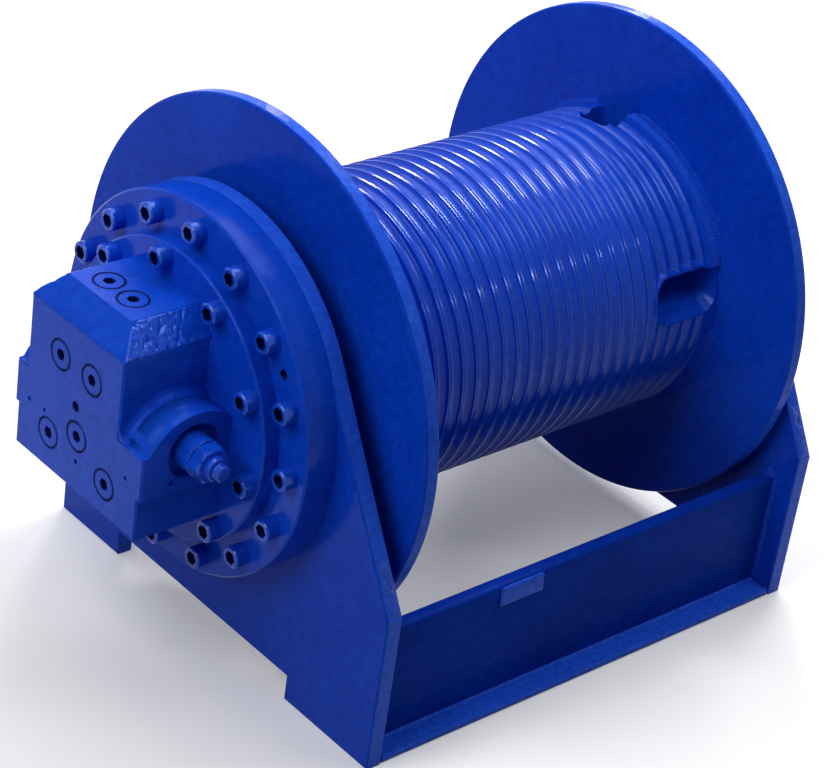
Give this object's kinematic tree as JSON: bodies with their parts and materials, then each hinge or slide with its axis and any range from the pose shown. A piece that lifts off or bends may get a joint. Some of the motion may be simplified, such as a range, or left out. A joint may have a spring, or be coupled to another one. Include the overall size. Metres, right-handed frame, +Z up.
{
  "type": "hydraulic winch",
  "caption": "Hydraulic drum winch: grooved rope drum between round flanges in a welded two-plate frame, with a bolted brake housing and cast motor block on one end.",
  "frame": {"origin": "middle of the winch's box on the floor plane under its feet", "axes": "+X along the drum axis away from the motor, +Y to the back, away from the front web, +Z up"},
  "size_m": [0.827, 0.602, 0.595],
  "materials": {
    "frame_paint": "glossy blue enamel on plate",
    "drum_paint": "glossy blue enamel on turned steel",
    "housing_paint": "glossy blue enamel",
    "casting_paint": "blue enamel over rough and machined cast iron",
    "fastener_paint": "blue enamel over steel fasteners",
    "seal_rubber": "black nitrile",
    "bush_bronze": "bearing bronze",
    "friction_lining": "sintered friction lining on steel",
    "spring_steel": "oiled spring steel",
    "nipple_brass": "plain brass",
    "gear_steel": "ground gear steel",
    "bearing_steel": "polished bearing steel",
    "machined_steel": "turned steel"
  },
  "bodies": {
    "frame": {"side_plate_motor_end": "frame_paint", "side_plate_far_end": "frame_paint", "front_web": "frame_paint", "front_lip": "frame_paint", "front_tab": "frame_paint", "rear_cross_member": "frame_paint", "brake_housing": "housing_paint", "housing_screws": "fastener_paint", "motor_flange": "housing_paint", "motor_flange_screws": "fastener_paint", "shaft_seal": "seal_rubber", "shaft_bush": "bush_bronze", "brake_spacer": "machined_steel", "brake_steel_discs": "machined_steel", "brake_springs": "spring_steel", "main_bearing_inner_ring": "bearing_steel", "planet_pins": "gear_steel", "pin_retainer": "gear_steel", "far_bearing_outer_ring": "bearing_steel", "far_bearing_housing": "frame_paint", "far_seal": "seal_rubber", "far_housing_screws": "fastener_paint", "far_bearing_cap": "frame_paint", "far_cap_screws": "fastener_paint", "grease_nipple": "nipple_brass", "motor_block": "casting_paint", "front_plugs": "fastener_paint", "top_plugs": "fastener_paint", "relief_valve_body": "fastener_paint", "relief_valve_nut": "fastener_paint", "relief_valve_screw": "fastener_paint", "idler_pin": "gear_steel"},
    "drum": {"drum_barrel": "drum_paint", "drum_flange_motor_side": "drum_paint", "drum_flange_far_side": "drum_paint", "riser_strip": "drum_paint", "drum_hub_ring": "machined_steel", "main_seal": "seal_rubber", "main_bearing_outer_ring": "bearing_steel", "ring_gear": "gear_steel", "drum_end_disc": "drum_paint", "trunnion": "machined_steel", "far_bearing_inner_ring": "bearing_steel"},
    "shaft": {"drive_shaft": "gear_steel", "sun_gear": "gear_steel", "brake_friction_discs": "friction_lining", "motor_drive_gear": "gear_steel"},
    "idler": {"motor_idler_gear": "gear_steel"},
    "planet_1": {"planet_gear_1": "gear_steel", "planet_bush_1": "bush_bronze"},
    "planet_2": {"planet_gear_2": "gear_steel", "planet_bush_2": "bush_bronze"},
    "planet_3": {"planet_gear_3": "gear_steel", "planet_bush_3": "bush_bronze"},
    "main_balls": {"main_bearing_balls": "bearing_steel"},
    "far_balls": {"far_bearing_balls": "bearing_steel"},
    "piston": {"brake_piston": "machined_steel"}
  },
  "joints": [
    {"name": "drum_spin", "type": "hinge", "parent": "frame", "child": "drum", "pos_m": [-0.2045, 0.011, 0.305], "axis": [1, 0, 0], "continuous": true},
    {"name": "shaft_spin", "type": "hinge", "parent": "frame", "child": "shaft", "pos_m": [-0.2045, 0.011, 0.305], "axis": [1, 0, 0], "continuous": true},
    {"name": "idler_spin", "type": "hinge", "parent": "frame", "child": "idler", "pos_m": [-0.2045, 0.011, 0.359], "axis": [1, 0, 0], "continuous": true},
    {"name": "planet_1_spin", "type": "hinge", "parent": "frame", "child": "planet_1", "pos_m": [-0.2045, 0.095, 0.305], "axis": [1, 0, 0], "continuous": true},
    {"name": "planet_2_spin", "type": "hinge", "parent": "frame", "child": "planet_2", "pos_m": [-0.2045, -0.031, 0.37775], "axis": [1, 0, 0], "continuous": true},
    {"name": "planet_3_spin", "type": "hinge", "parent": "frame", "child": "planet_3", "pos_m": [-0.2045, -0.031, 0.23225], "axis": [1, 0, 0], "continuous": true},
    {"name": "main_balls_spin", "type": "hinge", "parent": "frame", "child": "main_balls", "pos_m": [-0.2045, 0.011, 0.305], "axis": [1, 0, 0], "continuous": true},
    {"name": "far_balls_spin", "type": "hinge", "parent": "frame", "child": "far_balls", "pos_m": [-0.2045, 0.011, 0.305], "axis": [1, 0, 0], "continuous": true},
    {"name": "brake_release", "type": "slide", "parent": "frame", "child": "piston", "axis": [1, 0, 0], "range_m": [0, 0.002], "stiffness_N_per_m": 200000, "springref_m": -0.004, "deforming": ["brake_springs"]}
  ],
  "couplings": [
    {"joint": "shaft_spin", "follows": "drum_spin", "ratio": -3.6667},
    {"joint": "idler_spin", "follows": "drum_spin", "ratio": 3.6667},
    {"joint": "planet_1_spin", "follows": "drum_spin", "ratio": 2.75},
    {"joint": "planet_2_spin", "follows": "drum_spin", "ratio": 2.75},
    {"joint": "planet_3_spin", "follows": "drum_spin", "ratio": 2.75},
    {"joint": "main_balls_spin", "follows": "drum_spin", "ratio": 0.53571},
    {"joint": "far_balls_spin", "follows": "drum_spin", "ratio": 0.42222}
  ]
}
